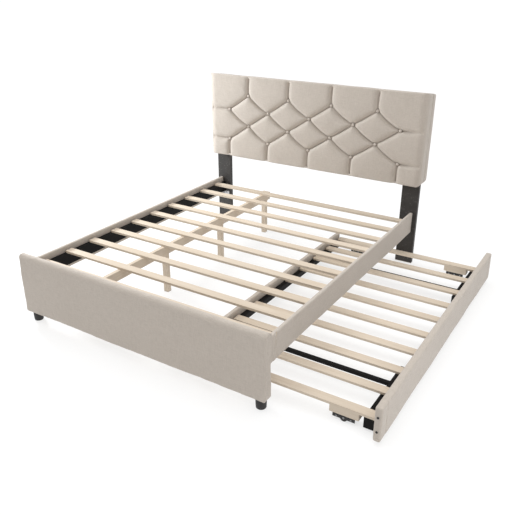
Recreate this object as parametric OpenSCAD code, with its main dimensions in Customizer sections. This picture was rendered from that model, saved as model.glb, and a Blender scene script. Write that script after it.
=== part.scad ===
// Upholstered platform bed with a rolling trundle bed under its right-hand side.
// Sizes are in mm. X runs across the bed, Y from the footboard to the headboard, Z up.
// Modules draw from the bed's own corner point, which is on the floor, on the bed's centre
// line, at the footboard's outer face; place() then moves them to the middle of the footprint.

/* [Bed] */
// Width over the outer faces of the two side rails
bed_w = 1722; // [1500:2:1900]
// Clear length from the footboard to the headboard legs
bed_l = 2050; // [1800:5:2200]

/* [Side rails] */
// Height of a covered side rail
rail_h = 156; // [140:1:170]
// Thickness of a covered side rail
rail_t = 25; // [20:1:40]
// Height of the underside of the side rails above the floor
rail_z = 246; // [236:1:300]
// Thickness of the padded cover on the side rails
rail_pad = 4; // [3:1:6]
// Radius of the cover's long edges
rail_r = 5; // [2:1:6]

/* [Slat ledges] */
// Width of the black ledge that the main slats lie on
ledge_w = 24; // [20:1:45]
// Height of the ledge
ledge_h = 79; // [50:1:80]
// How far the ledge's top lies below the top of the side rail
ledge_drop = 43; // [20:1:44]

/* [Slats] */
// Width of a main slat
slat_w = 56; // [45:1:70]
// Thickness of a slat
slat_t = 14; // [10:1:20]
// Radius of a slat's corners in plan
slat_r = 6; // [2:1:12]
// Gap between a slat's end and the rail beside it
slat_end_gap = 6; // [2:1:10]
// Gap from the footboard to the first main slat
slat_foot_gap = 52; // [20:1:100]
// Gap from the last main slat to the headboard legs
slat_head_gap = 91; // [40:1:130]

/* [Centre beam] */
// Thickness of the centre beam
beam_t = 25; // [18:1:30]
// Height of the centre beam
beam_h = 61; // [50:1:80]
// Gap from the pushed-in trundle to the centre beam
beam_gap = 12; // [10:1:40]
// Gap from the footboard to the near end of the beam
beam_foot_gap = 62; // [40:1:100]
// Gap from the far end of the beam to the headboard legs
beam_head_gap = 34; // [20:1:80]
// Side of a square centre leg
centre_leg = 35; // [30:1:45]

/* [Footboard] */
// How far the footboard stands out past each side rail
foot_over = 21.5; // [0:0.5:30]
// Thickness of the padded footboard
foot_t = 57; // [45:1:70]
// Height of the padded footboard
foot_h = 389; // [330:1:430]
// Gap between the footboard and the floor
foot_z = 66; // [50:1:80]
// Thickness of the footboard's padding
foot_pad = 15; // [8:1:18]
// Radius of the footboard's padded edges
foot_r = 14; // [6:1:16]
// Radius of a foot at its top
foot_top_r = 30; // [24:1:34]
// Radius of a foot at the floor
foot_base_r = 27; // [20:1:30]
// Distance from the footboard's end to the middle of a foot
foot_inset = 50; // [40:1:80]
// Distance from the footboard's outer face to the middle of a foot
foot_in = 40; // [32:1:41]

/* [Headboard] */
// How far the headboard stands out past each side rail
head_over = 46; // [35:1:60]
// Height of the headboard's underside above the floor
head_z = 616; // [480:1:650]
// Height of the padded headboard
head_h = 659; // [600:1:700]
// Thickness of the tufted front padding
head_pad = 97; // [85:1:120]
// Depth of the covered frame behind the padding
head_back = 62; // [55:1:95]
// Radius of the headboard's corners
head_r = 20; // [15:1:60]
// Thickness of the covered sides of the headboard
head_wall = 6; // [3:1:8]
// Thickness of the padding over the top of the headboard's frame
head_cap = 28; // [8:1:40]
// Thickness of the covered back of the headboard
head_skin = 10; // [4:1:12]
// Thickness of the headboard's plywood panel
panel_t = 15; // [12:1:18]
// Width of a headboard batten
batten_w = 50; // [40:1:60]
// Distance of the two middle studs from the bed's centre line
stud_x = 290; // [200:5:400]
// Radius of a headboard button
button_r = 11; // [8:1:20]
// Thickness of a headboard button
button_t = 7; // [5:1:9]
// How far a button sits back in its tuft
button_sink = 34; // [20:1:45]
// Distance between two buttons in a row
tuft_x = 362; // [250:1:390]
// Height between two rows of buttons
tuft_z = 120; // [90:1:130]
// Height of the lowest row of buttons above the headboard's underside
tuft_base = 144; // [100:1:180]

/* [Headboard legs] */
// Width of a headboard leg
leg_w = 127; // [100:1:140]
// Thickness of a headboard leg
leg_t = 30; // [24:1:36]
// How far a leg's outer side lies outside the side rail
leg_out = 27; // [0:1:35]
// How far a leg reaches up behind the headboard's padding
leg_up = 500; // [350:5:540]
// Thickness of the pads under the legs
glide_t = 3; // [2:1:8]

/* [Corner fittings] */
// Length of a corner bracket's arm
bracket_l = 58; // [45:1:70]
// Height of a corner bracket
bracket_h = 30; // [26:1:34]
// Thickness of a corner bracket
bracket_t = 3; // [2:0.5:5]
// Radius of a frame bolt's shank
bolt_r = 4; // [3:0.5:5]
// Length of a frame bolt below its head
bolt_l = 27; // [24:1:28]

/* [Trundle] */
// Width of the trundle over its back rail and its front panel
trundle_w = 1194; // [1050:1:1200]
// How far the trundle stands out from under the bed
trundle_pull = 596; // [0:1:800]
// Gap between the trundle and the footboard
trundle_foot_gap = 16; // [10:1:30]
// Gap between the trundle and the headboard legs
trundle_head_gap = 7; // [5:1:30]
// Height of the padded front panel
front_h = 192; // [150:1:196]
// Gap under the trundle's padded panels
front_z = 31; // [20:1:35]
// Thickness of a padded front panel
front_t = 41; // [35:1:50]
// Thickness of the padding on the trundle's panels
front_pad = 8; // [4:1:10]
// Radius of the padding's edges on the trundle
front_r = 7; // [3:1:8]
// Height of the top of the back rail above the floor
back_top = 125; // [115:1:140]
// Thickness of the padded back rail
back_t = 33; // [28:1:40]

/* [Trundle slats] */
// Width of a trundle slat
tslat_w = 57; // [50:1:60]
// Height of the trundle slats' underside above the floor
tslat_z = 77; // [74:1:80]
// Gap from the front panel's end to the first trundle slat
tslat_near_gap = 82; // [70:1:100]
// Gap from the last trundle slat to the front panel's far end
tslat_far_gap = 7; // [5:1:30]
// Side of the square ledge on the back rail
back_ledge = 35; // [25:1:40]
// Width of the ledge on the front panel
front_ledge_w = 52; // [40:1:58]
// Height of the ledge on the front panel
front_ledge_h = 62; // [50:1:66]
// Width of the packers that the cross bars meet
packer_w = 25; // [15:1:30]
// Length of a packer
packer_l = 500; // [400:5:600]
// Width of a cross bar
bar_w = 22; // [16:1:30]
// Height of a cross bar
bar_h = 20; // [16:1:25]
// Gap between a cross bar's top and the slats' underside
bar_drop = 2; // [1:1:10]
// Distance from the second slat to the near cross bar
bar_near_gap = 55; // [20:1:100]
// Distance from the eighth slat to the far cross bar
bar_far_gap = 22; // [10:1:100]

/* [Casters] */
// Radius of a caster wheel
wheel_r = 25; // [20:1:26]
// Width of a wheel's tread
wheel_w = 30; // [24:1:34]
// Radius of a wheel's hub
hub_r = 9; // [8:1:12]
// Radius of a caster axle
axle_r = 4; // [3:0.5:5]
// Length of a caster block along the slat
block_l = 158; // [140:1:180]
// Length of a caster bracket
caster_l = 120; // [110:1:130]
// Height of a caster bracket's side wall
caster_h = 21; // [18:1:24]
// Height of the top of a caster bracket above the floor
caster_top = 38; // [36:1:42]
// Thickness of a caster bracket's steel
caster_t = 2.5; // [2:0.5:3]
// Distance from the trundle's outer side to the middle of a caster
caster_in = 222; // [200:1:260]
// Radius of the rounded lug round each end of a caster's axle
lug_r = 20; // [14:1:22]
// Distance from a caster's axle to a rivet
rivet_x = 39; // [34:1:44]
// Radius of a rivet
rivet_r = 3; // [2:0.5:4]

/* [Screws] */
// Radius of a slat screw's shank
screw_r = 2; // [1.5:0.25:2.5]
// Radius of a slat screw's head
screw_head_r = 4; // [3:0.5:5]
// Height of a slat screw's head
screw_head_t = 2; // [1.5:0.25:3]
// Length of a slat screw below its head
screw_l = 36; // [30:1:40]

/* [Clearances] */
// Radial clearance of screws and bolts in their holes
screw_gap = 0.1; // [0.05:0.05:0.3]
// Radial running clearance of a wheel on its axle
axle_gap = 0.08; // [0.04:0.01:0.1]
// Gap between a wheel and what is round it
wheel_gap = 3; // [2:0.5:4]
// End play of a wheel's hub in its bracket
hub_gap = 0.5; // [0.3:0.1:1]
// Gap round a button in its tuft
button_gap = 1; // [0.5:0.5:2]

/* [Hidden] */
$fn = 48;
eps = 0.01;
slat_n = 10;
leg_n = 4;
foot_w = bed_w + 2*foot_over;
head_w = bed_w + 2*head_over;

// Footprint: its middle is the model's origin.
head_y = foot_t + bed_l - (head_pad - leg_t);
head_mid_y = head_y + head_pad;
total_l = head_mid_y + head_back;
panel_x = bed_w/2 + trundle_pull;
mid_x = (panel_x - head_w/2)/2;
mid_y = total_l/2;

// Bed frame
rail_in = bed_w/2 - rail_t;
rail_top = rail_z + rail_h;
ledge_top = rail_top - ledge_drop;
leg_y = foot_t + bed_l;
leg_x = bed_w/2 + leg_out - leg_w/2;
head_top = head_z + head_h;
frame_h = head_h - head_wall - head_cap;
slat_len = 2*(rail_in - slat_end_gap);
slat_y1 = foot_t + slat_foot_gap;
slat_pitch = (bed_l - slat_foot_gap - slat_head_gap - slat_w)/(slat_n - 1);
slat_screw_x = rail_in - ledge_w/2;
beam_x = bed_w/2 - trundle_w - beam_gap;
beam_y = foot_t + beam_foot_gap;
beam_l = bed_l - beam_foot_gap - beam_head_gap;
centre_leg_x = beam_x - beam_t - centre_leg;
centre_leg_pitch = (beam_l - centre_leg)/(leg_n - 1);
centre_leg_y = [for (i = [0:leg_n - 1]) beam_y + i*centre_leg_pitch];
beam_screw_z = [ledge_top - 10, ledge_top - beam_h + 10];
bracket_z = rail_z + (rail_h - ledge_drop - ledge_h - bracket_h)/2;
bolt_z = bracket_z + bracket_h/2;
bolt_head_r = 6.5;
bolt_head_t = 5;
rail_bolt_l = bracket_t + rail_t - rail_pad - 2;
leg_bolt_z = [head_z + 90, head_z + leg_up/2, head_z + leg_up - 50];
leg_bolt_l = leg_t + panel_t - 3;
pocket_gap = 7;

// Trundle
tr_x0 = panel_x - trundle_w;
tr_y0 = foot_t + trundle_foot_gap;
tr_l = bed_l - trundle_foot_gap - trundle_head_gap;
tr_in0 = tr_x0 + back_t;
tr_in1 = panel_x - front_t;
tslat_y1 = tr_y0 + tslat_near_gap;
tslat_pitch = (tr_l - tslat_near_gap - tslat_far_gap - tslat_w)/(slat_n - 1);
tslat_end_y = tslat_y1 + (slat_n - 1)*tslat_pitch + tslat_w;
tslat_top = tslat_z + slat_t;
tslat_x0 = tr_in0 + slat_end_gap;
tslat_x1 = tr_in1 - slat_end_gap;
tscrew_x = [tr_in0 + back_ledge/2, tr_in1 - front_ledge_w/2];
packer_y = [tslat_y1, tslat_end_y - packer_l];
bar_y = [tslat_y1 + tslat_pitch + tslat_w + bar_near_gap,
         tslat_y1 + 7*tslat_pitch + tslat_w + bar_far_gap];
bar_top = tslat_z - bar_drop;

// Casters: the middle of each, front ones first
caster_x = [panel_x - caster_in, tr_x0 + caster_in];
caster_y = [tslat_y1 + tslat_w/2, tslat_end_y - tslat_w/2];
casters = [for (x = caster_x, y = caster_y) [x, y, 0]];
hub_w = tslat_w - 2*caster_t - 2*hub_gap;
pin_head_t = 1.8;
caster_screw_x = rivet_x + 12;

// Colours
linen = "#C8BDB0";
timber = "#EBDCC8";
ply = "#D8B98C";
black = "#1B1919";
charcoal = "#3C3A38";
felt = "#B8B0A6";
steel = "#9A9A9A";

// Placing
module place() translate([-mid_x, -mid_y, 0]) children();

// Draws the same thing on the left and on the right of the bed's centre line.
module both_sides() {
    children();
    mirror([1, 0, 0]) children();
}

// An outline with rounded corners, from its lower left corner
module round_rect(w, h, r) {
    translate([r, 0]) square([w - 2*r, h]);
    translate([0, r]) square([w, h - 2*r]);
    for (x = [r, w - r], y = [r, h - r]) translate([x, y]) circle(r);
}

// Extrudes an outline of Y and Z along X
module along_x(l) rotate([90, 0, 90]) linear_extrude(l) children();

// Extrudes an outline of X and Z along Y
module along_y(l) rotate([90, 0, 0]) mirror([0, 0, 1]) linear_extrude(l) children();

// A round bar along Y, from y = 0
module rod_y(r, l) rotate([-90, 0, 0]) cylinder(r = r, h = l);

// A round bar along X, from x = 0
module rod_x(r, l) rotate([0, 90, 0]) cylinder(r = r, h = l);

// Headboard -----------------------------------------------------------------

module headboard_panel() {
    color(ply) place() difference() {
        translate([-head_w/2 + head_wall, head_mid_y, head_z + head_wall])
            along_y(panel_t) round_rect(head_w - 2*head_wall, frame_h, head_r - head_wall);
        leg_bolts_at() rod_y(bolt_r + screw_gap, leg_t + panel_t - 1);
    }
}

// A batten is cut to the corner radius of the cover round it
module batten_bound() {
    intersection() {
        translate([-head_w/2 + head_wall, head_mid_y + panel_t, head_z + head_wall])
            along_y(head_back - panel_t - head_skin)
                round_rect(head_w - 2*head_wall, frame_h, head_r - head_wall);
        children();
    }
}

module headboard_battens() {
    color(timber) place() for (z = [head_z, head_top - head_cap - batten_w])
        batten_bound() translate([-head_w/2, head_mid_y, z])
            cube([head_w, head_back, batten_w + (z == head_z ? head_wall : 0)]);
}

module headboard_studs() {
    stud_z = head_z + head_wall + batten_w;
    color(timber) place() both_sides()
        for (x = [stud_x, head_w/2 - head_wall - batten_w])
            translate([x, head_mid_y + panel_t, stud_z])
                cube([batten_w, head_back - panel_t - head_skin, frame_h - 2*batten_w]);
}

// The padding on the front, with a pocket for each leg and a well for each button
module headboard_cushion() {
    pocket_w = leg_w + 2;
    color(linen) place() difference() {
        translate([-head_w/2, head_y, head_z]) along_y(head_pad) round_rect(head_w, head_h, head_r);
        both_sides() translate([leg_x - pocket_w/2, leg_y - pocket_gap, head_z - eps])
            cube([pocket_w, leg_t + pocket_gap + eps, leg_up + 2]);
        buttons_at() translate([0, -eps, 0]) rod_y(button_r + button_gap, button_sink + eps);
    }
}

module headboard_back_cover() {
    color(linen) place() difference() {
        translate([-head_w/2, head_mid_y, head_z]) along_y(head_back) round_rect(head_w, head_h, head_r);
        translate([-head_w/2 + head_wall, head_mid_y - eps, head_z + head_wall])
            along_y(head_back - head_skin + eps)
                round_rect(head_w - 2*head_wall, frame_h, head_r - head_wall);
    }
}

// Four rows of buttons: five in the first and third rows from below, four in the others
module buttons_at() {
    for (row = [0:3]) {
        n = row % 2 == 0 ? 5 : 4;
        for (i = [0:n - 1])
            translate([(i - (n - 1)/2)*tuft_x, head_y, head_z + tuft_base + row*tuft_z]) children();
    }
}

module headboard_buttons() {
    color(linen) place() buttons_at() translate([0, button_sink - button_t, 0]) rod_y(button_r, button_t);
}

// Where the bolts go that hold the legs to the panel: at the front of their shanks
module leg_bolts_at() {
    both_sides() for (z = leg_bolt_z) translate([leg_x, leg_y, z]) children();
}

module head_leg() {
    difference() {
        translate([leg_x - leg_w/2, leg_y, glide_t]) cube([leg_w, leg_t, head_z + leg_up - glide_t]);
        for (z = leg_bolt_z) translate([leg_x, leg_y - eps, z])
            rod_y(bolt_r + screw_gap, leg_t + 2*eps);
        translate([rail_in - bracket_l/2, leg_y - eps, bolt_z])
            rod_y(bolt_r + screw_gap, bolt_l - bracket_t + 1 + eps);
    }
}

module head_leg_left() {
    color(charcoal) place() mirror([1, 0, 0]) head_leg();
}

module head_leg_right() {
    color(charcoal) place() head_leg();
}

// Footboard -----------------------------------------------------------------

module footboard_board() {
    color(ply) place() difference() {
        translate([-foot_w/2 + foot_pad, foot_pad, foot_z])
            cube([foot_w - 2*foot_pad, foot_t - 2*foot_pad, foot_h - foot_pad]);
        both_sides() foot_bracket_hole();
    }
}

// The hole that a corner bracket's bolt takes in the footboard
module foot_bracket_hole() {
    translate([rail_in - bracket_l/2, foot_t + bracket_t - bolt_l - 1, bolt_z])
        rod_y(bolt_r + screw_gap, bolt_l + 2);
}

module footboard_cover() {
    color(linen) place() difference() {
        translate([-foot_w/2, 0, foot_z]) along_x(foot_w) round_rect(foot_t, foot_h, foot_r);
        translate([-foot_w/2 + foot_pad, foot_pad, foot_z - eps])
            cube([foot_w - 2*foot_pad, foot_t - 2*foot_pad, foot_h - foot_pad + eps]);
        both_sides() foot_bracket_hole();
    }
}

module footboard_feet() {
    color(black) place() both_sides() translate([foot_w/2 - foot_inset, foot_in, 0])
        cylinder(r1 = foot_base_r, r2 = foot_top_r, h = foot_z);
}

// Side rails ----------------------------------------------------------------

module rail_bolt_hole(y) {
    translate([rail_in - bracket_t - eps, y, bolt_z])
        rod_x(bolt_r + screw_gap, rail_bolt_l + 1);
}

module rail_bolt_holes() {
    rail_bolt_hole(foot_t + bracket_l/2);
    rail_bolt_hole(leg_y - bracket_l/2);
}

module side_rail() {
    difference() {
        translate([rail_in + rail_pad, foot_t, rail_z + rail_pad])
            cube([rail_t - 2*rail_pad, bed_l, rail_h - 2*rail_pad]);
        rail_bolt_holes();
    }
}

module rail_cover() {
    difference() {
        translate([rail_in, foot_t, rail_z]) along_y(bed_l) round_rect(rail_t, rail_h, rail_r);
        translate([rail_in + rail_pad, foot_t - eps, rail_z + rail_pad])
            cube([rail_t - 2*rail_pad, bed_l + 2*eps, rail_h - 2*rail_pad]);
        rail_bolt_holes();
    }
}

module side_rail_left() {
    color(ply) place() mirror([1, 0, 0]) side_rail();
}

module side_rail_right() {
    color(ply) place() side_rail();
}

module rail_cover_left() {
    color(linen) place() mirror([1, 0, 0]) rail_cover();
}

module rail_cover_right() {
    color(linen) place() rail_cover();
}

module ledge() {
    difference() {
        translate([rail_in - ledge_w, foot_t, ledge_top - ledge_h]) cube([ledge_w, bed_l, ledge_h]);
        for (i = [0:slat_n - 1])
            translate([slat_screw_x, slat_y1 + i*slat_pitch + slat_w/2, ledge_top - screw_l])
                cylinder(r = screw_r + screw_gap, h = screw_l + eps);
    }
}

module ledge_left() {
    color(black) place() mirror([1, 0, 0]) ledge();
}

module ledge_right() {
    color(black) place() ledge();
}

// Corner fittings -----------------------------------------------------------

// An angle against the rail's inner face (x = rail_in) and against a face at y = 0
module corner_bracket() {
    difference() {
        union() {
            translate([rail_in - bracket_t, 0, bracket_z]) cube([bracket_t, bracket_l, bracket_h]);
            translate([rail_in - bracket_l, 0, bracket_z]) cube([bracket_l, bracket_t, bracket_h]);
        }
        translate([rail_in - bracket_l/2, -eps, bolt_z])
            rod_y(bolt_r + screw_gap, bracket_t + 2*eps);
        translate([rail_in - bracket_t - eps, bracket_l/2, bolt_z])
            rod_x(bolt_r + screw_gap, bracket_t + 2*eps);
    }
}

module corner_brackets() {
    color(steel) place() both_sides() {
        translate([0, foot_t, 0]) corner_bracket();
        translate([0, leg_y, 0]) mirror([0, 1, 0]) corner_bracket();
    }
}

// A bolt along +Y whose head lies before y = 0
module bolt(l = bolt_l) {
    rod_y(bolt_r, l);
    translate([0, -bolt_head_t, 0]) rotate([-90, 0, 0]) cylinder(r = bolt_head_r, h = bolt_head_t, $fn = 6);
}

module frame_bolts() {
    color(steel) place() {
        leg_bolts_at() bolt(leg_bolt_l);
        both_sides() {
            translate([rail_in - bracket_l/2, foot_t + bracket_t, bolt_z]) rotate([0, 0, 180]) bolt();
            translate([rail_in - bracket_l/2, leg_y - bracket_t, bolt_z]) bolt();
            for (y = [foot_t + bracket_l/2, leg_y - bracket_l/2])
                translate([rail_in - bracket_t, y, bolt_z]) rotate([0, 0, -90]) bolt(rail_bolt_l);
        }
    }
}

// Main slats ----------------------------------------------------------------

module main_slat(i) {
    color(timber) place() difference() {
        translate([-slat_len/2, slat_y1 + (i - 1)*slat_pitch, ledge_top])
            linear_extrude(slat_t) round_rect(slat_len, slat_w, slat_r);
        both_sides() translate([slat_screw_x, slat_y1 + (i - 1)*slat_pitch + slat_w/2, ledge_top - eps])
            cylinder(r = screw_r + screw_gap, h = slat_t + 2*eps);
    }
}

// A screw down along Z whose head lies on z = 0
module screw() {
    cylinder(r1 = screw_head_r, r2 = screw_head_r*0.7, h = screw_head_t);
    translate([0, 0, -screw_l]) cylinder(r = screw_r, h = screw_l + eps);
}

// Where the screws go that hold the centre legs to the beam
module beam_screws_at() {
    for (y = centre_leg_y, z = beam_screw_z)
        translate([beam_x, y + centre_leg/2, z]) rotate([0, 90, 0]) children();
}

module frame_screws() {
    color(steel) place() {
        both_sides() for (i = [0:slat_n - 1])
            translate([slat_screw_x, slat_y1 + i*slat_pitch + slat_w/2, ledge_top + slat_t]) screw();
        beam_screws_at() screw();
    }
}

// Centre beam ---------------------------------------------------------------

module screw_hole() {
    translate([0, 0, -screw_l - 1]) cylinder(r = screw_r + screw_gap, h = screw_l + 2);
}

module centre_beam() {
    color(timber) place() difference() {
        translate([beam_x - beam_t, beam_y, ledge_top - beam_h]) cube([beam_t, beam_l, beam_h]);
        beam_screws_at() screw_hole();
    }
}

module centre_legs() {
    color(timber) place() difference() {
        for (y = centre_leg_y) translate([centre_leg_x, y, glide_t])
            cube([centre_leg, centre_leg, ledge_top - glide_t]);
        beam_screws_at() screw_hole();
    }
}

module leg_glides() {
    color(felt) place() {
        both_sides() translate([leg_x - leg_w/2, leg_y, 0]) cube([leg_w, leg_t, glide_t]);
        for (y = centre_leg_y) translate([centre_leg_x, y, 0]) cube([centre_leg, centre_leg, glide_t]);
    }
}

// Trundle -------------------------------------------------------------------

module trundle_panel() {
    color(ply) place() difference() {
        translate([tr_in1 + front_pad, tr_y0 + front_pad, front_z])
            cube([front_t - 2*front_pad, tr_l - 2*front_pad, front_h - front_pad]);
        panel_bolts_at() rod_y(bolt_r + screw_gap, bolt_l + 1);
    }
}

// Where the two bolts go at each end of the front panel: at the end face, pointing in
module panel_bolts_at() {
    for (z = [front_z + 55, front_z + 137]) {
        translate([panel_x - front_t/2, tr_y0, z]) children();
        translate([panel_x - front_t/2, tr_y0 + tr_l, z]) rotate([0, 0, 180]) children();
    }
}

module trundle_panel_cover() {
    color(linen) place() difference() {
        translate([tr_in1, tr_y0, front_z]) along_y(tr_l) round_rect(front_t, front_h, front_r);
        translate([tr_in1 + front_pad, tr_y0 + front_pad, front_z - eps])
            cube([front_t - 2*front_pad, tr_l - 2*front_pad, front_h - front_pad + eps]);
        panel_bolts_at() translate([0, -eps, 0]) rod_y(bolt_r + screw_gap, front_pad + 1);
    }
}

// Bolts with low round heads
module trundle_panel_bolts() {
    color(black) place() panel_bolts_at() {
        rod_y(bolt_r, bolt_l);
        translate([0, -screw_head_t, 0]) rod_y(bolt_r + 2, screw_head_t);
    }
}

module trundle_back_rail() {
    color(ply) place() translate([tr_x0 + front_pad, tr_y0 + front_pad, front_z])
        cube([back_t - 2*front_pad, tr_l - 2*front_pad, back_top - front_z - front_pad]);
}

module trundle_back_cover() {
    color(linen) place() difference() {
        translate([tr_x0, tr_y0, front_z]) along_y(tr_l) round_rect(back_t, back_top - front_z, front_r);
        translate([tr_x0 + front_pad, tr_y0 + front_pad, front_z - eps])
            cube([back_t - 2*front_pad, tr_l - 2*front_pad, back_top - front_z - front_pad + eps]);
    }
}

module tslat_screw_holes(x) {
    for (i = [0:slat_n - 1])
        translate([x, tslat_y1 + i*tslat_pitch + tslat_w/2, tslat_top]) screw_hole();
}

module trundle_back_ledge() {
    color(black) place() difference() {
        translate([tr_in0, tslat_y1, tslat_z - back_ledge])
            cube([back_ledge, tslat_end_y - tslat_y1, back_ledge]);
        tslat_screw_holes(tscrew_x[0]);
    }
}

module trundle_front_ledge() {
    color(black) place() difference() {
        translate([tr_in1 - front_ledge_w, tslat_y1, tslat_z - front_ledge_h])
            cube([front_ledge_w, tslat_end_y - tslat_y1, front_ledge_h]);
        tslat_screw_holes(tscrew_x[1]);
    }
}

module trundle_ledge_packers() {
    color(black) place() for (y = packer_y)
        translate([tr_in1 - front_ledge_w - packer_w, y, tslat_z - front_ledge_h])
            cube([packer_w, packer_l, front_ledge_h]);
}

module trundle_cross_bars() {
    bar_x0 = tr_in0 + back_ledge;
    bar_x1 = tr_in1 - front_ledge_w - packer_w;
    color(black) place() for (y = bar_y)
        translate([bar_x0, y, bar_top - bar_h]) cube([bar_x1 - bar_x0, bar_w, bar_h]);
}

module trundle_slat(i) {
    y = tslat_y1 + (i - 1)*tslat_pitch;
    color(timber) place() difference() {
        translate([tslat_x0, y, tslat_z])
            linear_extrude(slat_t) round_rect(tslat_x1 - tslat_x0, tslat_w, slat_r);
        for (x = tscrew_x) translate([x, y + tslat_w/2, tslat_top]) screw_hole();
    }
}

module trundle_screws() {
    color(steel) place() {
        for (x = tscrew_x, i = [0:slat_n - 1])
            translate([x, tslat_y1 + i*tslat_pitch + tslat_w/2, tslat_top]) screw();
        at_casters() caster_screws_at() screw();
    }
}

// Casters -------------------------------------------------------------------

module at_casters() {
    for (c = casters) translate(c) children();
}

// Where the screws go that hold a caster's bracket up against its block
module caster_screws_at() {
    for (x = [-caster_screw_x, caster_screw_x])
        translate([x, 0, caster_top - caster_t]) rotate([180, 0, 0]) children();
}

// A wooden block under the end slat, with a recess for the top of the wheel
module caster_blocks() {
    recess_r = wheel_r + wheel_gap;
    color(timber) place() at_casters() difference() {
        translate([-block_l/2, -tslat_w/2, caster_top]) cube([block_l, tslat_w, tslat_z - caster_top]);
        translate([-recess_r, -wheel_w/2 - 2, caster_top - eps])
            cube([2*recess_r, wheel_w + 4, wheel_r + recess_r - caster_top + eps]);
        caster_screws_at() screw_hole();
    }
}

// The lower half of a lug: a side of the bracket bulges down round the axle
module axle_lug() {
    intersection() {
        translate([0, 0, wheel_r]) rod_y(lug_r, caster_t);
        translate([-lug_r, 0, wheel_r - lug_r]) cube([2*lug_r, caster_t, lug_r]);
    }
}

// A channel that opens downwards: its sides hold the axle and the rivets
module caster_brackets() {
    color(black) place() at_casters() difference() {
        union() {
            difference() {
                translate([-caster_l/2, -tslat_w/2, caster_top - caster_h])
                    cube([caster_l, tslat_w, caster_h]);
                translate([-caster_l/2 - eps, -tslat_w/2 + caster_t, caster_top - caster_h - eps])
                    cube([caster_l + 2*eps, tslat_w - 2*caster_t, caster_h - caster_t + eps]);
            }
            for (y = [-tslat_w/2, tslat_w/2 - caster_t]) translate([0, y, 0]) axle_lug();
        }
        translate([-wheel_r - wheel_gap, -wheel_w/2 - 2, 0])
            cube([2*(wheel_r + wheel_gap), wheel_w + 4, caster_top + eps]);
        pin_holes();
        caster_screws_at() screw_hole();
    }
}

// The holes for the axle and the rivets
module pin_holes() {
    translate([0, -tslat_w/2 - eps, wheel_r]) rod_y(axle_r + axle_gap, tslat_w + 2*eps);
    for (x = [-rivet_x, rivet_x])
        translate([x, -tslat_w/2 - eps, wheel_r]) rod_y(rivet_r + axle_gap, tslat_w + 2*eps);
}

// A pin with a low head at each end
module headed_pin(r) {
    translate([0, -tslat_w/2 - eps, wheel_r]) rod_y(r, tslat_w + 2*eps);
    translate([0, -tslat_w/2 - pin_head_t, wheel_r]) rod_y(r + 2, pin_head_t);
    translate([0, tslat_w/2, wheel_r]) rod_y(r + 2, pin_head_t);
}

module caster_pins() {
    color(steel) place() at_casters() {
        headed_pin(axle_r);
        for (x = [-rivet_x, rivet_x]) translate([x, 0, 0]) headed_pin(rivet_r);
    }
}

module caster_wheel(i) {
    tread_r = wheel_w/6;
    color(black) place() translate(casters[i - 1]) translate([0, 0, wheel_r]) rotate([90, 0, 0])
        rotate_extrude() difference() {
            union() {
                translate([0, -hub_w/2]) square([hub_r, hub_w]);
                translate([0, -wheel_w/2]) square([wheel_r - tread_r, wheel_w]);
                translate([0, -wheel_w/2 + tread_r]) square([wheel_r, wheel_w - 2*tread_r]);
                for (y = [-wheel_w/2 + tread_r, wheel_w/2 - tread_r])
                    translate([wheel_r - tread_r, y]) circle(tread_r);
            }
            translate([-eps, -hub_w]) square([axle_r + axle_gap + eps, 2*hub_w]);
        }
}

// Nodes ---------------------------------------------------------------------

headboard_panel();
headboard_battens();
headboard_studs();
headboard_cushion();
headboard_back_cover();
headboard_buttons();
head_leg_left();
head_leg_right();
footboard_board();
footboard_cover();
footboard_feet();
side_rail_left();
side_rail_right();
rail_cover_left();
rail_cover_right();
ledge_left();
ledge_right();
corner_brackets();
frame_bolts();
for (i = [1:slat_n]) main_slat(i);
frame_screws();
centre_beam();
centre_legs();
leg_glides();
trundle_panel();
trundle_panel_cover();
trundle_panel_bolts();
trundle_back_rail();
trundle_back_cover();
trundle_back_ledge();
trundle_front_ledge();
trundle_ledge_packers();
trundle_cross_bars();
for (i = [1:slat_n]) trundle_slat(i);
trundle_screws();
caster_blocks();
caster_brackets();
caster_pins();
for (i = [1:4]) caster_wheel(i);
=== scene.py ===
import math

import bpy
import numpy as np
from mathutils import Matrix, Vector


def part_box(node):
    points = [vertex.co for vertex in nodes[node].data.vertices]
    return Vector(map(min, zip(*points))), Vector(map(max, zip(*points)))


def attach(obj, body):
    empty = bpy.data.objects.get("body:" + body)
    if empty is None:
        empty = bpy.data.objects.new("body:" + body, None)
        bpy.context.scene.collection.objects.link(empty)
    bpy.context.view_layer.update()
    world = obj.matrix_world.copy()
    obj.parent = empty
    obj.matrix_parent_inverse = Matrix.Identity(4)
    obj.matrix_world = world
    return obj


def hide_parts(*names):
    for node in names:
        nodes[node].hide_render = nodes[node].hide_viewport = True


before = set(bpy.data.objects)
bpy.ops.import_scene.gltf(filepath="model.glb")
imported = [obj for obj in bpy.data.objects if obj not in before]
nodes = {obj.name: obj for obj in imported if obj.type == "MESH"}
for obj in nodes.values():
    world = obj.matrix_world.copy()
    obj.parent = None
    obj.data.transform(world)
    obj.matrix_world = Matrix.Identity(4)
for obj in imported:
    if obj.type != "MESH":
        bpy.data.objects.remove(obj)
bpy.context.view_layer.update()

X, Y, Z = range(3)

# Headboard padding -----------------------------------------------------------------------
# A thick pad of foam under one sheet of linen. Buttons and the tucks that run between them
# draw the linen back to the board, and it turns round the edges to be stapled behind.


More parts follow.
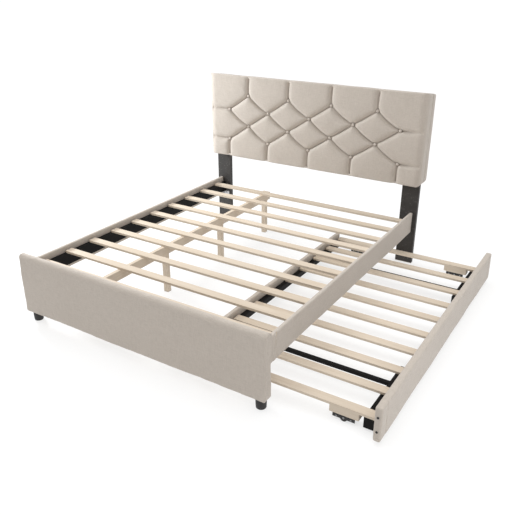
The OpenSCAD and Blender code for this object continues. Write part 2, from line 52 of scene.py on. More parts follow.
class Wire:
    """A node's output that can stand in a sum: each operator adds the Math node for it."""

    def __init__(self, look, socket):
        self.look, self.socket = look, socket

    def maths(self, operation, *values):
        return self.look.node("ShaderNodeMath", {"operation": operation}, dict(enumerate(values)))

    def __add__(self, other):
        return self.maths("ADD", self, other)

    def __sub__(self, other):
        return self.maths("SUBTRACT", self, other)

    def __rsub__(self, other):
        return self.maths("SUBTRACT", other, self)

    def __mul__(self, other):
        return self.maths("MULTIPLY", self, other)

    def __pow__(self, other):
        return self.maths("POWER", self, other)

    __radd__, __rmul__ = __add__, __mul__

    def sin(self):
        return self.maths("SINE", self)

    def over(self, level):
        return self.maths("GREATER_THAN", self, level)

    def held(self):
        return self.look.node("ShaderNodeClamp", values={"Value": self})


class Tree:
    """A shader's nodes, with the one way of adding a node to them."""

    def __init__(self, tree):
        self.tree = tree

    def node(self, kind, settings=None, values=None, out=0):
        made = self.tree.nodes.new(kind)
        for name, value in (settings or {}).items():
            if name == "stops":
                while len(made.color_ramp.elements) < len(value):
                    made.color_ramp.elements.new(0.5)
                for element, (position, colour) in zip(made.color_ramp.elements, value):
                    element.position, element.color = position, (*colour, 1.0)
            else:
                setattr(made, name, value)
        self.feed(made, values or {})
        return Wire(self, made.outputs[out])

    def feed(self, node, values):
        for name, value in values.items():
            if isinstance(value, Wire):
                self.tree.links.new(value.socket, node.inputs[name])
            else:
                node.inputs[name].default_value = value


class Look(Tree):
    """A material for one finish."""

    def __init__(self, name, roughness, **fixed):
        self.material = bpy.data.materials.new(name)
        self.material.use_nodes = True
        super().__init__(self.material.node_tree)
        self.shader = self.tree.nodes["Principled BSDF"]
        self.shader.inputs["Roughness"].default_value = roughness
        for socket, value in fixed.items():
            self.shader.inputs[socket.replace("_", " ")].default_value = value
        self.place = self.node("ShaderNodeTexCoord", out="Object")

    def along(self, axis):
        """The distance along one axis of the object."""
        return self.node("ShaderNodeSeparateXYZ", values={0: self.place}, out="XYZ".index(axis))

    def noise(self, scale, stretch=(1, 1, 1), detail=3.0, roughness=0.5):
        place = self.place
        if stretch != (1, 1, 1):
            place = self.node("ShaderNodeMapping", values={"Vector": place, "Scale": stretch})
        return self.node("ShaderNodeTexNoise", values={
            "Vector": place, "Scale": scale, "Detail": detail, "Roughness": roughness})

    def mix(self, share, first, second, blend="MIX"):
        """Mixes two colours. A colour is three numbers or a wire."""
        first, second = (c if isinstance(c, Wire) else (*c, 1.0) for c in (first, second))
        return self.node("ShaderNodeMix", {"data_type": "RGBA", "blend_type": blend},
                         {0: share, 6: first, 7: second}, out=2)

    def finish(self, colour, roughness=None, height=None, depth=0.001, strength=1.0):
        values = {"Base Color": colour if isinstance(colour, Wire) else (*colour, 1.0)}
        if roughness is not None:
            values["Roughness"] = roughness
        if height is not None:
            values["Normal"] = self.node("ShaderNodeBump", values={
                "Height": height, "Distance": depth, "Strength": strength}, out="Normal")
        self.feed(self.shader, values)
        return self.material


def linen(name, light, dark):
    """A heathered plain weave: slubs run both ways, and the yarns cross every 3 mm."""
    look = Look(name, 0.88, Sheen_Weight=0.25, Sheen_Roughness=0.45, Specular_IOR_Level=0.25)
    yarn = 2 * math.pi / 0.003
    x, y, z = ((look.along(axis) * yarn).sin() for axis in "XYZ")
    weave = x * z + y * (x + z)
    slubs = look.noise(1.0, (420, 420, 30)) + look.noise(1.0, (30, 420, 420)) \
        + look.noise(1.0, (420, 30, 420))
    cloud = look.noise(3.0, detail=2.0)
    colour = look.mix((slubs * 1.5 - 1.75 + weave * 0.06).held(), dark, light)
    colour = look.mix(cloud * 0.35, colour, look.mix(1.0, colour, (0.93, 0.92, 0.91), "MULTIPLY"))
    return look.finish(colour, 0.8 + slubs * 0.06, weave * 0.5 + slubs, 0.00035, 0.55)


fabric = linen("oatmeal_linen", (0.605, 0.544, 0.483), (0.50, 0.444, 0.389))


def padded_board(box, depth_axis, pitch, corner, edge_low, edge_high):
    """A closed board with a rounded outline and rolled edges, as points, outward directions
    and faces. depth_axis is the axis of its thickness. pitch is the size of a face, or one
    size for each axis. edge_low and edge_high are the radii of the rolled edges."""
    low, high = (np.array(c) for c in box)
    fine = [pitch] * 3 if isinstance(pitch, float) else list(pitch)
    fine[depth_axis] = (high - low)[depth_axis] / 12
    lines = [np.linspace(a, b, max(3, round((b - a) / p) + 1)) for a, b, p in zip(low, high, fine)]
    count = [len(line) for line in lines]
    index = np.arange(np.prod(count)).reshape(count)
    faces = []
    for axis in range(3):
        for side in (0, -1):
            sheet = np.take(index, side, axis=axis)
            quads = np.stack([sheet[:-1, :-1], sheet[1:, :-1], sheet[1:, 1:], sheet[:-1, 1:]], -1)
            quads = quads.reshape(-1, 4)
            faces.append(quads if (side == -1) != (axis == 1) else quads[:, ::-1])
    used, faces = np.unique(np.concatenate(faces), return_inverse=True)
    faces = faces.reshape(-1, 4)
    steps = np.unravel_index(used, count)
    points = np.stack([line[i] for line, i in zip(lines, steps)], -1)

    # Round the outline: the square corners are drawn in to quarter circles.
    flat = [a for a in range(3) if a != depth_axis]
    core = np.clip(points[:, flat], (low + corner)[flat], (high - corner)[flat])
    off = points[:, flat] - core
    far = np.linalg.norm(off, axis=1)
    reach = np.abs(off).max(axis=1)
    outward = off / np.maximum(far, 1e-9)[:, None]
    inside = corner - reach
    depth = points[:, depth_axis].copy()
    on_low, on_high = steps[depth_axis] == 0, steps[depth_axis] == count[depth_axis] - 1
    rim = ~(on_low | on_high)

    # Roll the edges: half of each quarter circle comes from the face, half from the rim.
    angle = np.zeros(len(points))
    sign = np.zeros(len(points))
    inset = np.where(rim, 0.0, inside)
    for edge, face, level, way in ((edge_low, on_low, low[depth_axis], -1),
                                   (edge_high, on_high, high[depth_axis], 1)):
        near = np.abs(depth - level)
        roll = np.where(rim, np.clip(1 - near / edge, 0, 1), 0)
        turn = np.where(rim & (near < edge), math.pi / 4 * roll, 0)
        turn = np.where(face, math.pi / 2 - math.pi / 4 * np.clip(1 - inside / edge, 0, 1), turn)
        mine = (face & (inside < edge)) | (rim & (near < edge))
        angle = np.where(mine | face, turn, angle)
        sign = np.where(mine | face, way, sign)
        inset = np.where(mine, edge - edge * np.cos(turn), inset)
        depth = np.where(mine, level - way * edge * (1 - np.sin(turn)), depth)
    flat_place = core + outward * (corner - inset)[:, None]
    flat_place = np.where((far > 1e-9)[:, None], flat_place, core)
    points[:, flat] = flat_place
    points[:, depth_axis] = depth
    normals = np.zeros_like(points)
    normals[:, flat] = outward * np.cos(angle)[:, None]
    normals[:, depth_axis] = np.sin(angle) * sign
    return points, normals / np.maximum(np.linalg.norm(normals, axis=1), 1e-9)[:, None], faces


def ease_edge(points, first, second, reach):
    """Rounds the edge between two sides, each an axis, its level and the way inwards. The
    round reaches that far along each."""
    inward = [(points[:, axis] - level) * way / r
              for (axis, level, way), r in zip((first, second), reach)]
    off = np.hypot(1 - inward[0], 1 - inward[1])
    beyond = (inward[0] < 1) & (inward[1] < 1) & (off > 1)
    for (axis, level, way), r, share in zip((first, second), reach, inward):
        eased = level + way * r * (1 - (1 - share) / np.maximum(off, 1))
        points[:, axis] = np.where(beyond, eased, points[:, axis])


def ripples(points, length, seed):
    """A smooth, irregular swell between about -1 and 1, with waves of about that length."""
    draw = np.random.default_rng(seed)
    total = np.zeros(len(points))
    for _ in range(10):
        way = draw.normal(size=3)
        way *= 2 * math.pi / length * draw.uniform(0.6, 1.5) / np.linalg.norm(way)
        total += np.sin(points @ way + draw.uniform(0, 2 * math.pi))
    return total / 4


def groove(distance, width):
    """1 in the middle of a groove and nothing beyond about its width."""
    return np.exp(-(distance / (width / 2)) ** 2)


def piece(name, body, points, faces, material):
    mesh = bpy.data.meshes.new(name)
    mesh.from_pydata(points.tolist(), [], faces if isinstance(faces, list) else faces.tolist())
    mesh.materials.append(material)
    mesh.polygons.foreach_set("use_smooth", [True] * len(mesh.polygons))
    mesh.update()
    made = bpy.data.objects.new(name, mesh)
    bpy.context.scene.collection.objects.link(made)
    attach(made, body)
    return made


head_low, head_high = (Vector(c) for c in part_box("headboard_cushion"))
middle = (head_low.x + head_high.x) / 2
row_height, row_step, across = 0.144, 0.120, 0.362
tufts = [[(middle + (i - (n - 1) / 2) * across, head_low.z + row_height + row * row_step)
          for i in range(n)] for row, n in enumerate((5, 4, 5, 4))]


def tuck_lines():
    """The tucks: between neighbouring buttons, and from the outer buttons to the edges."""
    def bowed(start, end, bow):
        share = np.linspace(0, 1, 7)[:, None]
        line = np.array(start) * (1 - share) + np.array(end) * share
        return line + np.array(bow) * np.sin(share * math.pi)
    lines = []
    for below, above in zip(tufts, tufts[1:]):
        for low in below:
            for high in above:
                if abs(low[0] - high[0]) < across * 0.6:
                    left_down = high[0] > low[0]
                    lines.append(bowed(high, low, (0, -0.002) if left_down else (-0.008, -0.009)))
    for x, z in tufts[-1]:
        lines.append(bowed((x, z), (x + 0.004, head_high.z - 0.027), (-0.003, 0)))
    for x, z in tufts[0]:
        lines.append(bowed((x, z), (x - 0.004, head_low.z - 0.02), (-0.004, 0)))
    for row in (tufts[0], tufts[2]):
        lines.append(bowed(row[0], (head_low.x - 0.02, row[0][1] + 0.004), (0, -0.002)))
        lines.append(bowed(row[-1], (head_high.x + 0.02, row[-1][1] + 0.004), (0, -0.002)))
    return lines


def tuck_distance(flat, lines, ease):
    """How far each point is from the tucks. Where several meet, the distances run together."""
    total = np.zeros(len(flat))
    for line in lines:
        nearest = np.full(len(flat), 9.0)
        for start, end in zip(line, line[1:]):
            way = end - start
            share = np.clip((flat - start) @ way / (way @ way), 0, 1)
            off = np.linalg.norm(flat - start - share[:, None] * way, axis=1)
            nearest = np.minimum(nearest, off)
        total += np.exp(-nearest / ease)
    return np.maximum(-ease * np.log(np.maximum(total, 1e-9)), 0)


points, normals, faces = padded_board((head_low, head_high), Y, pitch=0.0042, corner=0.012,
                                      edge_low=0.011, edge_high=0.006)
for side, way in ((head_low.x, 1), (head_high.x, -1)):
    ease_edge(points, (X, side, way), (Y, head_low.y, 1), reach=(0.060, 0.030))
    ease_edge(points, (X, side, way), (Z, head_low.z, 1), reach=(0.034, 0.034))
front = np.nonzero(normals[:, Y] < -0.02)[0]
flat = points[front][:, [X, Z]]
away = tuck_distance(flat, tuck_lines(), ease=0.005)
tuck_depth, tuck_width = 0.011, 0.006
shoulder_depth, shoulder_width = 0.011, 0.017
crown_depth, crown_width = 0.008, 0.060
fade_width, least = 0.12, 0.2
sunk = tuck_depth * np.exp(-(away / tuck_width) ** 1.4) \
    + shoulder_depth * np.exp(-(away / shoulder_width) ** 1.5)
from_side = np.minimum(flat[:, 0] - head_low.x, head_high.x - flat[:, 0])
sunk = sunk * np.clip(from_side / fade_width, least, 1) + crown_depth * np.exp(-away / crown_width)
button_depth, button_well = 0.007, 0.014
pleats, pleat_height, pleat_start, pleat_end = 9, 0.0016, 0.012, 0.022
for n, (x, z) in enumerate(b for row in tufts for b in row):
    gap = np.linalg.norm(flat - (x, z), axis=1)
    turn = np.arctan2(flat[:, 1] - z, flat[:, 0] - x)
    pleat = np.cos(pleats * turn + n) * np.exp(-gap / pleat_end) * (1 - np.exp(-gap / pleat_start))
    sunk += button_depth * np.exp(-(gap / button_well) ** 2) + pleat_height * pleat
sunk += 0.0012 * ripples(points[front], length=0.22, seed=3) \
    + 0.0005 * ripples(points[front], length=0.07, seed=4)
strength = np.clip(-normals[front, Y], 0, 1) ** 0.7
points[front] -= normals[front] * (np.maximum(sunk, 0) * strength)[:, None]
rest = np.nonzero(normals[:, Y] >= -0.02)[0]
swell = 0.0012 * ripples(points[rest], length=0.12, seed=5)
points[rest] += normals[rest] * (swell - 0.001)[:, None]


def fall_back(points, top, front):
    """The padding on the top edge falls towards the back."""
    reach, slope = 0.045, 0.15
    share = np.clip((points[:, Z] - (top - reach)) / reach, 0, 1)
    points[:, Z] -= slope * (points[:, Y] - front) * share ** 2 * (3 - 2 * share)


fall_back(points, head_high.z, head_low.y)
pad = piece("headboard_tufted_pad", "bed", points, faces, fabric)
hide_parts("headboard_cushion")

# Headboard buttons -----------------------------------------------------------------------
# Domed buttons covered in the same linen. A cord through the board holds each one down in
# its tuft.


def repeated(name, body, places, material, radius, stretch, sides):
    """Makes one mesh of many small domed pieces, one at each place."""
    tree = bpy.data.node_groups.new(name, "GeometryNodeTree")
    face = tree.interface
    face.new_socket("Geometry", in_out="OUTPUT", socket_type="NodeSocketGeometry")
    face.new_socket("Places", in_out="INPUT", socket_type="NodeSocketGeometry")
    inputs = [
        (face.new_socket("Radius", in_out="INPUT", socket_type="NodeSocketFloat"), radius),
        (face.new_socket("Stretch", in_out="INPUT", socket_type="NodeSocketVector"), stretch)]
    start, end = tree.nodes.new("NodeGroupInput"), tree.nodes.new("NodeGroupOutput")
    ball = tree.nodes.new("GeometryNodeMeshUVSphere")
    ball.inputs["Segments"].default_value = sides
    ball.inputs["Rings"].default_value = sides // 2
    shape = tree.nodes.new("GeometryNodeTransform")
    put = tree.nodes.new("GeometryNodeInstanceOnPoints")
    real = tree.nodes.new("GeometryNodeRealizeInstances")
    smooth = tree.nodes.new("GeometryNodeSetShadeSmooth")
    paint = tree.nodes.new("GeometryNodeSetMaterial")
    paint.inputs["Material"].default_value = material
    for source, target in ((start.outputs["Radius"], ball.inputs["Radius"]),
                           (ball.outputs["Mesh"], shape.inputs["Geometry"]),
                           (start.outputs["Stretch"], shape.inputs["Scale"]),
                           (start.outputs["Places"], put.inputs["Points"]),
                           (shape.outputs["Geometry"], put.inputs["Instance"]),
                           (put.outputs["Instances"], real.inputs["Geometry"]),
                           (real.outputs["Geometry"], smooth.inputs["Geometry"]),
                           (smooth.outputs["Geometry"], paint.inputs["Geometry"]),
                           (paint.outputs["Geometry"], end.inputs["Geometry"])):
        tree.links.new(source, target)
    spots = bpy.data.meshes.new(name + "_places")
    spots.from_pydata([tuple(p) for p in places], [], [])
    carrier = bpy.data.objects.new(name + "_places", spots)
    bpy.context.scene.collection.objects.link(carrier)
    modifier = carrier.modifiers.new(name, "NODES")
    modifier.node_group = tree
    for socket, value in inputs:
        modifier[socket.identifier] = value
    graph = bpy.context.evaluated_depsgraph_get()
    mesh = bpy.data.meshes.new_from_object(carrier.evaluated_get(graph))
    bpy.data.objects.remove(carrier)
    mesh.name = name
    made = bpy.data.objects.new(name, mesh)
    bpy.context.scene.collection.objects.link(made)
    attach(made, body)
    return made


button_sink = 0.020
buttons = repeated("headboard_covered_buttons", "bed",
                   [(x, head_low.y + button_sink, z) for row in tufts for x, z in row],
                   fabric, radius=0.0115, stretch=(1.0, 0.65, 1.0), sides=24)
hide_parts("headboard_buttons")

# Headboard back --------------------------------------------------------------------------
# The frame behind the padding is wrapped in the same linen. It is pulled round the edges,
# turned in and fixed with a line of staples along the back.


back_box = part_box("headboard_back_cover")
points, normals, faces = padded_board(back_box, Y, pitch=0.012, corner=0.012,
                                      edge_low=0.006, edge_high=0.012)
for side, way in ((back_box[0][X], 1), (back_box[1][X], -1)):
    ease_edge(points, (X, side, way), (Z, back_box[0][Z], 1), reach=(0.034, 0.034))
behind = normals[:, Y] > 0.5
from_edge = np.minimum.reduce([points[:, X] - back_box[0][X], back_box[1][X] - points[:, X],
                               points[:, Z] - back_box[0][Z], back_box[1][Z] - points[:, Z]])
points += normals * (0.001 * ripples(points, length=0.25, seed=11) - 0.0012)[:, None]
staple_line, pull = 0.042, 0.0025
points -= normals * (pull * groove(from_edge - staple_line, width=0.016) * behind)[:, None]
fall_back(points, head_high.z, head_low.y)
back = piece("headboard_back_cloth", "bed", points, faces, fabric)
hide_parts("headboard_back_cover")

# Headboard frame -------------------------------------------------------------------------
# A plywood panel on pine battens and studs, closed in by the padding and the back cloth.
# The plywood's layers run round its cut edges.


def timber(name, along, pale=(0.665, 0.572, 0.465), deep=(0.565, 0.465, 0.355), coat=0.05):
    """Sanded softwood: fine grain and growth lines that run along one axis."""
    look = Look(name, 0.55, Coat_Weight=coat, Coat_Roughness=0.4, Specular_IOR_Level=0.35)
    stretch = tuple(1.0 if axis == along else 26.0 for axis in "XYZ")
    fine = tuple(9.0 if axis == along else 420.0 for axis in "XYZ")
    swirl = look.noise(1.3, stretch, detail=4.0, roughness=0.55)
    rings = ((swirl * 26).sin() * 0.5 + 0.5) ** 2.0
    pores = look.noise(1.0, fine, detail=3.0, roughness=0.7)
    tone = look.noise(2.2, (1.0, 1.0, 1.0), detail=1.0)
    share = (rings * 0.34 + pores * 0.5 + tone * 0.5 - 0.36).held()
    return look.finish(look.mix(share, pale, deep), 0.5 + pores * 0.2,
                       pores + rings * 0.3, 0.0003, 0.5)


def plywood(name, across):
    """Birch plywood: thin layers that show as stripes on the cut edges."""
    look = Look(name, 0.6, Specular_IOR_Level=0.3)
    layer = (look.along(across) * (2 * math.pi / 0.003)).sin()
    grain = look.noise(1.2, (4, 4, 90), detail=4.0)
    share = (grain * 0.6 + layer.over(0.0) * 0.35).held()
    return look.finish(look.mix(share, (0.74, 0.58, 0.40), (0.50, 0.35, 0.21)),
                       0.55 + grain * 0.15, grain + layer * 0.2, 0.0004, 0.5)


def paint(node, material):
    for place in nodes[node].material_slots:
        place.material = material


pine_x, pine_y, pine_z = (timber("pine_along_" + axis.lower(), axis) for axis in "XYZ")
ply_y, ply_x = plywood("plywood_layers_y", "Y"), plywood("plywood_layers_x", "X")
paint("headboard_panel", ply_y)
paint("headboard_battens", pine_x)
paint("headboard_studs", pine_z)

# Headboard legs --------------------------------------------------------------------------
# Two flat posts in a charcoal textured powder coat, bolted to the panel behind the padding.
# The bolts and the corner brackets are zinc plated.


def powder_coat(name, colour, roughness=0.5):
    """A baked coat with a fine orange peel and slightly rubbed patches."""
    look = Look(name, roughness, Specular_IOR_Level=0.4)
    peel = look.noise(900.0, detail=2.0)
    rubbed = look.noise(14.0, detail=4.0, roughness=0.65)
    fleck = look.noise(95.0, detail=0.0).over(0.74)
    lighter = tuple(c * 1.7 + 0.004 for c in colour)
    toned = look.mix((rubbed * 1.6 - 0.45).held(), colour, lighter)
    return look.finish(look.mix(fleck * 0.35, toned, tuple(c * 4 + 0.03 for c in colour)),
                       roughness - 0.08 + rubbed * 0.2, peel, 0.0003, 0.5)


def zinc(name, shade=1.0):
    """Zinc plate: a soft shine with faint clouds and fine scratches."""
    look = Look(name, 0.35, Metallic=1.0)
    cloud = look.noise(120.0, detail=3.0)
    scratch = look.noise(1.0, (60, 2400, 2400), detail=2.0)
    dull = tuple(c * shade for c in (0.50, 0.50, 0.52))
    bright = tuple(c * shade for c in (0.66, 0.66, 0.67))
    return look.finish(look.mix(cloud, dull, bright),
                       0.28 + cloud * 0.2, scratch, 0.00005, 0.5)


charcoal = powder_coat("charcoal_coat", (0.034, 0.031, 0.029), 0.55)
steel = zinc("zinc_plate")
for name in ("head_leg_left", "head_leg_right"):
    paint(name, charcoal)
for name in ("corner_brackets", "frame_bolts", "frame_screws", "trundle_screws"):
    paint(name, steel)

# Footboard -------------------------------------------------------------------------------
# A low board with foam on both faces and a rolled top, wrapped in linen that is mitred at
# the top corners. It stands on two moulded feet with rounded soles.

foot_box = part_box("footboard_cover")
points, normals, faces = padded_board(foot_box, Y, pitch=0.0065, corner=0.008,
                                      edge_low=0.007, edge_high=0.007)
for side, way in ((foot_box[0][Y], 1), (foot_box[1][Y], -1)):
    ease_edge(points, (Z, foot_box[1][Z], -1), (Y, side, way), reach=(0.034, 0.028))
for side, way in ((foot_box[0][X], 1), (foot_box[1][X], -1)):
    ease_edge(points, (X, side, way), (Z, foot_box[0][Z], 1), reach=(0.020, 0.020))
foot_middle = (foot_box[0][X] + foot_box[1][X]) / 2
from_end = foot_box[1][X] - foot_middle - np.abs(points[:, X] - foot_middle)
from_top = foot_box[1][Z] - points[:, Z]
from_front = points[:, Y] - foot_box[0][Y]
bulge = 0.003 * np.clip(-normals[:, Y], 0, 1) * np.minimum(1, from_top / 0.15)
crease = 0.0018 * ripples(points, length=0.30, seed=21) \
    + 0.0006 * ripples(points, length=0.06, seed=22)
drag_spacing, drag_reach, drag_height = 0.035, 0.05, 0.0008
drag = np.sin(from_end * 2 * math.pi / drag_spacing) * np.exp(-from_end / drag_reach) \
    * np.exp(-np.abs(from_top - 0.12) / 0.12) * drag_height
mitre_reach, end_face = 0.06, 0.004
mitre = 0.003 * groove(from_end - from_front, width=0.007) \
    * (from_end < mitre_reach) * (normals[:, Z] > 0.2)
tuck = 0.0022 * groove(from_front - 0.030, width=0.006) \
    * (from_end < end_face) * (from_top > 0.02)
inset = 0.0012
points += normals * (bulge + crease + drag - inset - mitre - tuck)[:, None]
points[:, Z] = np.maximum(points[:, Z], foot_box[0][Z] - 0.001)
board = piece("footboard_padding", "bed", points, faces, fabric)
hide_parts("footboard_cover")
paint("footboard_board", ply_y)


def moulded(name, colour, roughness):
    """Moulded plastic with a fine spark-eroded grain."""
    look = Look(name, roughness, Specular_IOR_Level=0.45)
    grain = look.noise(1400.0, detail=2.0)
    haze = look.noise(30.0, detail=3.0)
    return look.finish(look.mix(haze * 0.6, colour, tuple(c * 1.8 + 0.004 for c in colour)),
                       roughness - 0.06 + haze * 0.14, grain, 0.0002, 0.5)


def turned(profile, centre, sides=48):
    """A lathe-turned shape from (radius, height) pairs, closed at both ends."""
    around = np.linspace(0, 2 * math.pi, sides, endpoint=False)
    rings = [np.stack([centre[0] + r * np.cos(around), centre[1] + r * np.sin(around),
                       np.full(sides, centre[2] + z)], -1) for r, z in profile]
    points = np.concatenate(rings + [[(centre[0], centre[1], centre[2] + profile[0][1])],
                                     [(centre[0], centre[1], centre[2] + profile[-1][1])]])
    faces, step = [], np.arange(sides)
    after = (step + 1) % sides
    for ring in range(len(profile) - 1):
        a, b = ring * sides, (ring + 1) * sides
        faces += np.stack([a + step, a + after, b + after, b + step], -1).tolist()
    last = (len(profile) - 1) * sides
    bottom, top = len(points) - 2, len(points) - 1
    faces += [[bottom, int(q), int(p)] for p, q in zip(step, after)]
    faces += [[top, int(last + p), int(last + q)] for p, q in zip(step, after)]
    return points, faces


black_plastic = moulded("black_moulding", (0.016, 0.015, 0.015), 0.5)
feet_low, feet_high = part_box("footboard_feet")
foot_radius = 0.030
sole_flat, sole_round, sole_height = 0.0225, 0.0055, 0.0075
sole = [(sole_flat + sole_round * math.sin(a), sole_height * (1 - math.cos(a)))
        for a in np.linspace(0, math.pi / 2, 7)]
neck = foot_radius - 0.0015
foot_profile = [(0.012, 0.0)] + sole + [
    (0.0288, 0.020), (0.0295, 0.045), (neck, 0.052), (neck, 0.054),
    (foot_radius, 0.055), (foot_radius, feet_high[2])]
all_points, all_faces = [], []
for x in (feet_low[0] + foot_radius, feet_high[0] - foot_radius):
    points, faces = turned(foot_profile, (x, (feet_low[1] + feet_high[1]) / 2, 0.0))
    all_faces += [[i + sum(map(len, all_points)) for i in face] for face in faces]
    all_points.append(points)
feet = piece("footboard_turned_feet", "bed", np.concatenate(all_points), all_faces,
             black_plastic)
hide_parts("footboard_feet")

# Side rails ------------------------------------------------------------------------------
# Each rail is a plywood board in thin wadding and linen. Near the footboard the linen is
# folded under itself, which leaves an upright fold across the outer face.

for side, outer in (("left", -1), ("right", 1)):
    rail_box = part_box("rail_cover_" + side)
    points, normals, faces = padded_board(rail_box, X, pitch=(1, 0.0028, 0.0075), corner=0.006,
                                          edge_low=0.008, edge_high=0.008)
    from_foot = points[:, Y] - rail_box[0][Y]
    outside = np.clip(normals[:, X] * outer, 0, 1)
    waver = 0.003 * np.sin(points[:, Z] * 34)
    flap_end, fold_at, pleat_at = 0.075, 0.081, 0.046
    flap_height, fold_depth, pleat_depth = 0.0026, 0.0045, 0.0028
    flap = 0.5 - 0.5 * np.tanh((from_foot - flap_end - waver) / 0.005)
    fold = groove(from_foot - fold_at - waver, width=0.011) * fold_depth \
        + groove(from_foot - pleat_at + waver, width=0.012) * pleat_depth - flap * flap_height
    swell = 0.0014 * ripples(points, length=0.30, seed=31 + outer) * outside
    pull_reach, pull_height = 0.05, 0.0015
    ends = pull_height * np.exp(-from_foot / pull_reach) * np.sin(points[:, Z] * 90) * outside
    inset = 0.0008
    points += normals * (swell + ends - fold * outside - inset)[:, None]
    cover = piece("side_rail_linen_" + side, "bed", points, faces, fabric)
    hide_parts("rail_cover_" + side)
    paint("side_rail_" + side, ply_x)

# Slat ledges -----------------------------------------------------------------------------
# Battens painted black, screwed along the inner faces of the rails for the slats to lie on.
# A little of the grain shows through the paint.


def black_wood(name):
    """Black paint on a batten, with the grain just showing through it."""
    look = Look(name, 0.55, Specular_IOR_Level=0.12)
    grain = look.noise(1.0, (160, 6, 160), detail=4.0)
    fleck = look.noise(240.0, detail=2.0)
    return look.finish(look.mix((grain + fleck - 0.95).held(), (0.0045, 0.004, 0.004),
                                (0.022, 0.020, 0.019)), 0.45 + grain * 0.2, grain, 0.0003, 0.5)


black_paint = black_wood("black_batten")
for name in ("ledge_left", "ledge_right"):
    paint(name, black_paint)

# Main slats and centre beam --------------------------------------------------------------
# Sanded pine slats with eased corners, screwed down at each end. The beam under them
# stands on four square pine legs with felt pads.

for n in range(1, 11):
    paint(f"main_slat_{n}", pine_x)
paint("centre_beam", pine_y)
paint("centre_legs", pine_z)


def felt(name):
    """Pressed felt: short fibres lying every way."""
    look = Look(name, 0.95, Sheen_Weight=0.3, Specular_IOR_Level=0.1)
    fibre = look.noise(700.0, detail=4.0, roughness=0.7)
    return look.finish(look.mix(fibre, (0.30, 0.27, 0.24), (0.52, 0.48, 0.43)),
                       0.9 + fibre * 0.08, fibre, 0.0006, 0.7)


paint("leg_glides", felt("grey_felt"))

# Trundle panels --------------------------------------------------------------------------
# The trundle's front panel and its lower back rail are plywood in wadding and linen. The
# linen is joined by an upright seam near the panel's ends, and black bolts pass through.


def hem(points, normals, drop):
    """The linen is turned under the board, so its lower side hangs a little below it."""
    points[:, Z] -= drop * np.clip(-normals[:, Z] * 2.5, 0, 1)


panel_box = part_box("trundle_panel_cover")
points, normals, faces = padded_board(panel_box, X, pitch=(1, 0.0032, 0.0085), corner=0.013,
                                      edge_low=0.012, edge_high=0.012)
from_near = np.minimum(points[:, Y] - panel_box[0][Y], panel_box[1][Y] - points[:, Y])
outside = np.clip(normals[:, X], 0, 1)
seam_at, seam_depth = 0.070, 0.0040
seam = groove(from_near - seam_at, width=0.008) * seam_depth
swell = 0.0016 * ripples(points, length=0.28, seed=41) \
    + 0.0005 * ripples(points, length=0.06, seed=42)
drag_spacing, drag_reach, drag_height = 0.03, 0.04, 0.0008
drag = drag_height * np.sin(from_near * 2 * math.pi / drag_spacing) \
    * np.exp(-from_near / drag_reach)
inset = 0.001
points += normals * ((swell + drag - seam) * outside - inset)[:, None]
hem(points, normals, drop=0.006)
panel = piece("trundle_panel_padding", "trundle", points, faces, fabric)
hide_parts("trundle_panel_cover")

rail_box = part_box("trundle_back_cover")
points, normals, faces = padded_board(rail_box, X, pitch=0.010, corner=0.009,
                                      edge_low=0.009, edge_high=0.009)
points += normals * (0.0011 * ripples(points, length=0.25, seed=51) - inset)[:, None]
hem(points, normals, drop=0.004)
back_rail = piece("trundle_back_rail_padding", "trundle", points, faces, fabric)
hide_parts("trundle_back_cover")
paint("trundle_panel", ply_x)
paint("trundle_back_rail", ply_x)

# Trundle base ----------------------------------------------------------------------------
# Pine slats on black ledges, with black packers behind the front one and two black cross
# bars below them.

for n in range(1, 11):
    paint(f"trundle_slat_{n}", pine_x)
for name in ("trundle_back_ledge", "trundle_front_ledge", "trundle_ledge_packers",
             "trundle_cross_bars"):
    paint(name, black_paint)

# Casters ---------------------------------------------------------------------------------
# Each plastic wheel turns on a steel axle in a black pressed bracket. The bracket is
# screwed up into a pine block under the end slat.

black_coat = powder_coat("black_coat", (0.012, 0.011, 0.011), 0.45)
paint("caster_brackets", black_coat)
paint("trundle_panel_bolts", black_coat)
# The pins take the zinc plate at 0.4 of its colour: painted shade on real plating.
paint("caster_pins", zinc("shaded_zinc_plate", 0.4))
paint("caster_blocks", pine_x)
for n in range(1, 5):
    paint(f"caster_wheel_{n}", black_plastic)

# Floor, light and camera -----------------------------------------------------------------
# A plain pale floor under a pale sky, lit from above and from the left. The sky is white to
# the camera and dimmer as a light, so that the sides stay in shade.

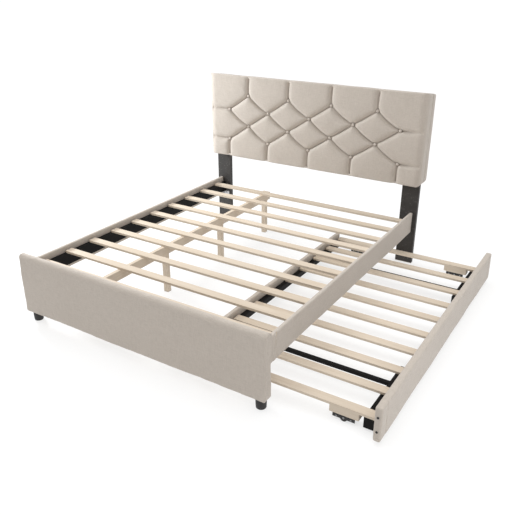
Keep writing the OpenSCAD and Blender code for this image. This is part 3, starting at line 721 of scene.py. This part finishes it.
reach = 90.0
floor_look = Look("pale_floor", 0.9, Specular_IOR_Level=0.1, Emission_Strength=0.7,
                  Emission_Color=(1.0, 1.0, 1.0, 1.0))
mottle = floor_look.noise(2.0, detail=2.0)
floor_look.finish(floor_look.mix(mottle, (0.30, 0.30, 0.30), (0.32, 0.32, 0.32)))
floor_mesh = bpy.data.meshes.new("floor")
floor_mesh.from_pydata([(-reach, -reach, 0), (reach, -reach, 0), (reach, reach, 0),
                        (-reach, reach, 0)], [], [(0, 1, 2, 3)])
floor_mesh.materials.append(floor_look.material)
floor = bpy.data.objects.new("floor", floor_mesh)
bpy.context.scene.collection.objects.link(floor)

world = bpy.data.worlds.new("pale_sky")
bpy.context.scene.world = world
world.use_nodes = True
backdrop = Tree(world.node_tree)
seen = backdrop.node("ShaderNodeLightPath", out="Is Camera Ray")
sky_light, sky_white = 0.27, 0.8
backdrop.feed(backdrop.tree.nodes["Background"], {
    "Color": (1.0, 0.995, 0.985, 1.0), "Strength": seen * sky_white + sky_light})


def lamp(name, kind, at, towards, power, spread, colour=(1.0, 1.0, 1.0)):
    made = bpy.data.lights.new(name, kind)
    made.energy, made.color = power, colour
    if kind == "SUN":
        made.angle = math.radians(spread)
    else:
        made.size = spread
    light = bpy.data.objects.new(name, made)
    light.location = at
    light.rotation_mode = "QUATERNION"
    light.rotation_quaternion = (Vector(towards) - Vector(at)).to_track_quat("-Z", "Y")
    bpy.context.scene.collection.objects.link(light)


lamp("overhead", "SUN", at=(0, 0, 5), towards=(0.25, 0.2, 0), power=2.45, spread=80)
lamp("left_window", "AREA", at=(-3.4, 0.0, 1.55), towards=(0.0, 1.0, 0.9), power=112,
     spread=0.7, colour=(0.93, 0.97, 1.0))
lamp("right_fill", "AREA", at=(3.2, -0.9, 0.7), towards=(1.2, 0.0, 0.1), power=11, spread=1.4)
bpy.context.scene.view_settings.view_transform = "Standard"

heading, dip = math.radians(32.148), math.radians(24.625)
stand = Vector(((foot_box[0][X] + foot_box[1][X]) / 2, foot_box[0][Y], 0.0))
eye = bpy.data.cameras.new("camera")
eye.sensor_width, eye.lens = 36.0, 43.45
camera = bpy.data.objects.new("camera", eye)
camera.location = stand + Vector((2.1767, -2.1338, 2.0074))
camera.rotation_mode = "QUATERNION"
camera.rotation_quaternion = Vector((-math.sin(heading) * math.cos(dip),
                                     math.cos(heading) * math.cos(dip),
                                     -math.sin(dip))).to_track_quat("-Z", "Y")
bpy.context.scene.collection.objects.link(camera)
bpy.context.scene.camera = camera
